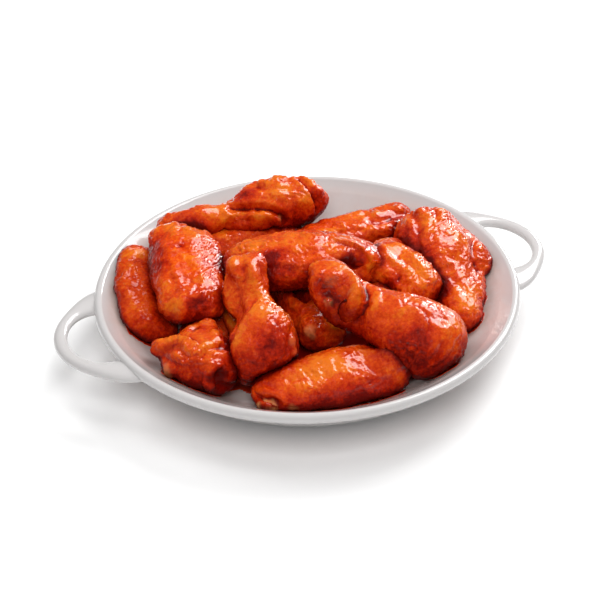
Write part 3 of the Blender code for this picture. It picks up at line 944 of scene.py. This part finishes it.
def shape_flat_back_right(wing):
    wing.swell((0.80, -5), 6, 2.4)
    wing.swell((0.44, 6), 7, 2.6, stretch=1.3)
    wing.swell((0.34, 62), 9, 2.2, stretch=1.8)
    wing.swell((-0.10, 24), 10, 1.2, stretch=1.6)
    wing.crease([(0.08, 34), (0.30, 38), (0.50, 38), (0.72, 30), (0.92, 20)], 2.4, 1.0, lip=0.5)
    wing.crease([(0.20, -20), (0.26, 6), (0.22, 30)], 2.0, 1.0)
    wing.crease([(-0.7, 20), (-0.4, 38), (-0.1, 44), (0.1, 60)], 1.8, 1.2)
    wing.ripples((-0.30, 30), 12, 2.4, 0.5, turn=60, stretch=1.6)
    wing.tint((0.0, -15), 16, 0.05, stretch=1.6)
    wing.matt((-0.12, -7), 12, 0.35)
    wing.tint((0.62, 30), 9, -0.6)
    wing.tone -= 0.12
    wing.tint((0.70, 60), 9, -0.6)
    wing.tint((-0.5, 20), 12, 0.35)
    wing.bare((0.44, 6), 4.5, 0.2)
    wing.smooth_out((0.44, 6), 7, 0.8)
    wing.smooth_out((0.34, 62), 7, 0.6)


def shape_drumette_right(wing):
    wing.crease([(0.86, -45), (0.62, -34), (0.36, -46), (0.10, -62)], 2.4, 1.4)
    wing.crease([(0.90, 0), (0.70, 4), (0.50, -6)], 1.8, 1.3)
    wing.crease([(0.30, 70), (0.10, 58), (-0.10, 60), (-0.25, 78)], 2.0, 1.5)
    wing.crease([(-0.30, -30), (-0.55, -10), (-0.80, 0)], 2.2, 0.9)
    wing.swell((0.78, -24), 4.5, 1.0)
    wing.swell((0.70, 24), 6, 0.7)
    wing.crease([(0.20, 28), (0.12, 34), (0.04, 36)], 1.0, 1.4)
    wing.ripples((0.42, 32), 13, 2.3, 0.42, turn=40)
    wing.ripples((-0.15, 42), 14, 2.2, 0.40, turn=30, stretch=1.3)
    wing.ripples((-0.55, 40), 14, 2.2, 0.36, turn=40, stretch=1.3)
    wing.flatten((0.30, 6), 12, 0.55, stretch=1.4)
    wing.flatten((-0.10, 20), 12, 0.5, stretch=1.3)
    # Painted shade: the left side, turned from the light, is painted redder.
    wing.tint((0.45, -66), 14, -0.45)
    wing.paint_shade((-0.20, -66), 10, 0.9, stretch=2.6)
    wing.tint((0.10, -55), 13, -0.65)
    wing.tint((0.50, -20), 9, 0.35)
    wing.tint((-0.04, 88), 7, -0.8)
    wing.tint((-0.75, 0), 13, 0.35)


def shape_drumette_low_right(wing):
    wing.crease([(-0.6, -20), (0.0, -30), (0.6, -20)], 2.2, 1.2)
    wing.tint((-0.3, -40), 12, 0.6)


SHAPES = {"flat_left_top": shape_flat_left_top,
          "flat_left_outer": shape_flat_left_outer,
          "drumette_back_left": shape_drumette_back_left,
          "flat_back_center": shape_flat_back_center,
          "flat_center": shape_flat_center,
          "drumette_center": shape_drumette_center,
          "drumette_right_front": shape_drumette_right_front,
          "flat_front": shape_flat_front,
          "drumette_front_left": shape_drumette_front_left,
          "flat_low_left": shape_flat_low_left,
          "flat_center_low": shape_flat_center_low,
          "flat_right_center": shape_flat_right_center,
          "flat_back_right": shape_flat_back_right,
          "drumette_right": shape_drumette_right,
          "drumette_low_right": shape_drumette_low_right}


# ---------------------------------------------------------------- the dish

def lip_arc():
    """Points round the rolled lip, from the well over the top to the outside."""
    turns = [math.radians(d) for d in range(150, -61, -15)]
    return [(RIM_RADIUS + LIP_RADIUS * math.cos(t), RIM_HEIGHT - LIP_RADIUS * (1 - math.sin(t)))
            for t in turns]


def dish_section():
    """The dish's section: smooth walls through the named radii and heights, the lip, and a flat foot ring."""
    well = smooth_line(WELL, WELL_STEPS)
    outside = smooth_line(OUTSIDE, OUTSIDE_STEPS)
    return np.concatenate([well, lip_arc(), outside, FOOT])


def turned_body():
    section = dish_section()
    mesh = bpy.data.meshes.new("dish_porcelain")
    points = [(r * MM, 0, z * MM) for r, z in section]
    mesh.from_pydata(points, [(k, k + 1) for k in range(len(points) - 1)], [])
    body = bpy.data.objects.new("dish_porcelain", mesh)
    bpy.context.scene.collection.objects.link(body)
    return edited(body,
                  lambda: bpy.ops.mesh.spin(steps=DISH_STEPS, angle=2 * math.pi,
                                            center=(0, 0, 0), axis=(0, 0, 1)),
                  lambda: bpy.ops.mesh.remove_doubles(threshold=MERGED * MM),
                  lambda: bpy.ops.mesh.select_all(action="SELECT"),
                  lambda: bpy.ops.mesh.normals_make_consistent(inside=False))


def loop_handle(side):
    """A loop of flattened round section that flares towards the wall, and ends inside it."""
    choose_nothing()
    bpy.ops.mesh.primitive_torus_add(location=(side * HANDLE_MIDDLE * MM, 0, HANDLE_HEIGHT * MM),
                                     major_radius=HANDLE_RADIUS * MM, minor_radius=HANDLE_WIDTH * MM,
                                     major_segments=120, minor_segments=28)
    handle = placed(added("handle"))
    points = points_of(handle)
    middle = np.array((side * HANDLE_MIDDLE, 0, HANDLE_HEIGHT)) * MM
    flat = points - middle
    height = flat[:, 2].copy()
    flat[:, 2] = 0
    ring = flat / np.linalg.norm(flat, axis=1)[:, None] * HANDLE_RADIUS * MM
    root = np.clip(np.abs(ring[:, 1]) / (HANDLE_RADIUS * MM), 0, 1) ** HANDLE_ROOT_SHARPNESS
    points = middle + ring + (flat - ring) * (1 + HANDLE_FLARE * root)[:, None]
    points[:, 2] += height * HANDLE_THICKNESS / HANDLE_WIDTH * (1 + 0.25 * root)
    move_points(handle, points)
    chosen(handle)
    slope = WALL_DEPTH / 2
    bpy.ops.mesh.primitive_cone_add(vertices=DISH_STEPS, depth=WALL_DEPTH * MM,
                                    radius1=(WALL_RADIUS - slope) * MM, radius2=(WALL_RADIUS + slope) * MM,
                                    location=(0, 0, HANDLE_HEIGHT * MM))
    inside = placed(added("inside"))
    finished(handle, "BOOLEAN", operation="DIFFERENCE", object=inside, solver="EXACT")
    bpy.data.objects.remove(inside)
    return handle


def make_dish():
    body = turned_body()
    for side in (-1, 1):
        handle = loop_handle(side)
        finished(body, "BOOLEAN", operation="UNION", object=handle, solver="EXACT")
        bpy.data.objects.remove(handle)
    stain(body)
    body.data.materials.append(porcelain())
    chosen(body)
    bpy.ops.object.shade_smooth_by_angle(angle=math.radians(50))
    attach(body, "root")
    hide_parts("dish")


def stain(body):
    """Marks where sauce has touched the porcelain, and paints a faint wide red tint round the heap as painted
    bounced light.
    """
    points = points_of(body)
    radius = np.linalg.norm(points[:, :2], axis=1)
    inside = (radius < STAIN_AND_BOUNCE_RADIUS * MM) & (points[:, 2] > STAIN_AND_BOUNCE_FROM * MM)
    heap = surface_of(*(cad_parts[name] for name in WINGS))
    marks = np.zeros(len(points))
    for share, fade, most in STAINS_AND_BOUNCE:
        marks[inside] += share * np.exp(-gaps_to(heap, points[inside], most * MM) / (fade * MM))
    paint(body, "stain", marks)


def make_pool():
    """Sauce that lies on the dish: a thin rim round each wing that touches it, and a pool under the heap that
    also paints the shade between the wings.
    """
    choose_nothing()
    bpy.ops.mesh.primitive_grid_add(x_subdivisions=POOL_CELLS, y_subdivisions=POOL_CELLS,
                                    size=2 * POOL_REACH * MM)
    pool = added("sauce_and_shade_pool")
    points = points_of(pool)
    radius = np.linalg.norm(points[:, :2], axis=1) / MM
    well = smooth_line(WELL, WELL_STEPS)
    points[:, 2] = np.interp(radius, well[:, 0], well[:, 1]) * MM
    heap = surface_of(*(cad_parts[name] for name in WINGS))
    gap = gaps_to(heap, points, 0.03) / MM
    reach = 1.5 + 7.0 * (1 - step_up(radius, 62, 84))
    depth = 1.5 * np.exp(-gap / reach) * (1 + 0.5 * noise(points, 9 * MM, 3)) - 0.42
    # Painted shade: the pool is deepest and darkest under the middle of the heap.
    depth += 1.2 * (1 - step_up(radius, 40, 62))
    depth = np.where(radius < POOL_REACH - 1, depth, -1)
    points[:, 2] += (0.12 + np.clip(depth, 0, POOL_DEEPEST)) * MM
    move_points(pool, points)
    dry = depth < 0
    edited(pool, lambda: bpy.ops.mesh.select_all(action="DESELECT"))
    for face in pool.data.polygons:
        face.select = bool(dry[list(face.vertices)].any())
    bpy.ops.object.mode_set(mode="EDIT")
    bpy.ops.mesh.delete(type="FACE")
    bpy.ops.object.mode_set(mode="OBJECT")
    points = points_of(pool)
    radius = np.linalg.norm(points[:, :2], axis=1) / MM
    paint(pool, "depth", points[:, 2] / MM - np.interp(radius, well[:, 0], well[:, 1]))
    finished(pool, "SOLIDIFY", thickness=POOL_SHEET * MM, offset=-1)
    pool.data.materials.append(sauce_and_shade_pool())
    for face in pool.data.polygons:
        face.use_smooth = True
    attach(pool, "root")


# ---------------------------------------------------------------- floor, light and camera

def make_floor():
    choose_nothing()
    bpy.ops.mesh.primitive_plane_add(size=8, location=(0, 0, 0))
    floor = added("floor")
    pale = Finish("pale_floor", Roughness=0.9)
    floor.data.materials.append(pale.finish(Base_Color=(0.90, 0.90, 0.90), Emission_Color=(1.0, 1.0, 1.0),
                                            Emission_Strength=0.05))


def soft_light(name, azimuth, elevation, size, power, glossy):
    """A square softbox that faces the dish."""
    turn, rise = math.radians(azimuth), math.radians(elevation)
    out = Vector((math.sin(turn) * math.cos(rise), math.cos(turn) * math.cos(rise), math.sin(rise)))
    light = bpy.data.lights.new(name, "AREA")
    light.shape = "SQUARE"
    light.size = size
    light.energy = power
    lamp = bpy.data.objects.new(name, light)
    lamp.location = out * LAMP_DISTANCE + Vector((0, 0, 0.03))
    lamp.rotation_euler = out.to_track_quat("Z", "Y").to_euler()
    lamp.visible_glossy = glossy
    bpy.context.scene.collection.objects.link(lamp)


def make_light():
    world = bpy.data.worlds.new("studio")
    bpy.context.scene.world = world
    world.use_nodes = True
    world.node_tree.nodes["Background"].inputs["Color"].default_value = (1, 1, 1, 1)
    world.node_tree.nodes["Background"].inputs["Strength"].default_value = ROOM_LIGHT
    for lamp in LAMPS:
        soft_light(*lamp)


def make_camera():
    camera = bpy.data.cameras.new("camera")
    holder = bpy.data.objects.new("camera", camera)
    bpy.context.scene.collection.objects.link(holder)
    bpy.context.scene.camera = holder
    turn, rise, roll = (math.radians(angle) for angle in (CAMERA_TURN, CAMERA_RISE, CAMERA_ROLL))
    back = Vector((math.sin(turn) * math.cos(rise), -math.cos(turn) * math.cos(rise), math.sin(rise)))
    right = Vector((math.cos(turn), math.sin(turn), 0))
    up = back.cross(right)
    across = right * math.cos(roll) + up * math.sin(roll)
    above = up * math.cos(roll) - right * math.sin(roll)
    holder.matrix_world = Matrix((across, above, back)).transposed().to_4x4()
    holder.location = back * CAMERA_DISTANCE + Vector(CAMERA_AIM)
    camera.sensor_width = 36
    camera.lens = CAMERA_LENS
    camera.shift_x, camera.shift_y = CAMERA_SHIFT


make_camera()
make_light()
make_floor()
make_wings()
make_dish()
make_pool()
bpy.context.scene.view_settings.view_transform = "Standard"
